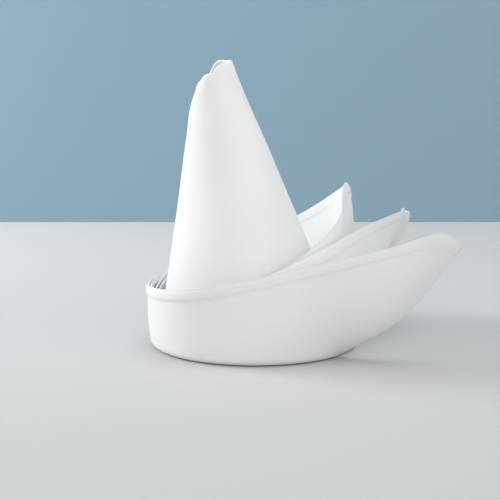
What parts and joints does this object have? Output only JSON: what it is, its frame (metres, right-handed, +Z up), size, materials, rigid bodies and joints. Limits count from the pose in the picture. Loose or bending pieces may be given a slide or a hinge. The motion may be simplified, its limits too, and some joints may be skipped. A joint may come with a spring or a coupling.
{
  "type": "folded napkin",
  "caption": "Square white cloth napkin folded on its diagonal and rolled into a leaning hollow cone, its open edges turned up round the foot as a brim with loose corner flaps.",
  "frame": {"origin": "bottom centre of the box round the napkin, at the middle of the box in X and Y and on the plane it stands on", "axes": "+X to the right in the picture, towards the tip of the front flap; +Y away from the camera; +Z up; -Y is the front"},
  "size_m": [0.1648, 0.1528, 0.1547],
  "materials": {
    "cloth": "crisp plain-weave white cotton, matt, smooth ironed face"
  },
  "bodies": {
    "root": {"napkin": "cloth"}
  },
  "joints": []
}
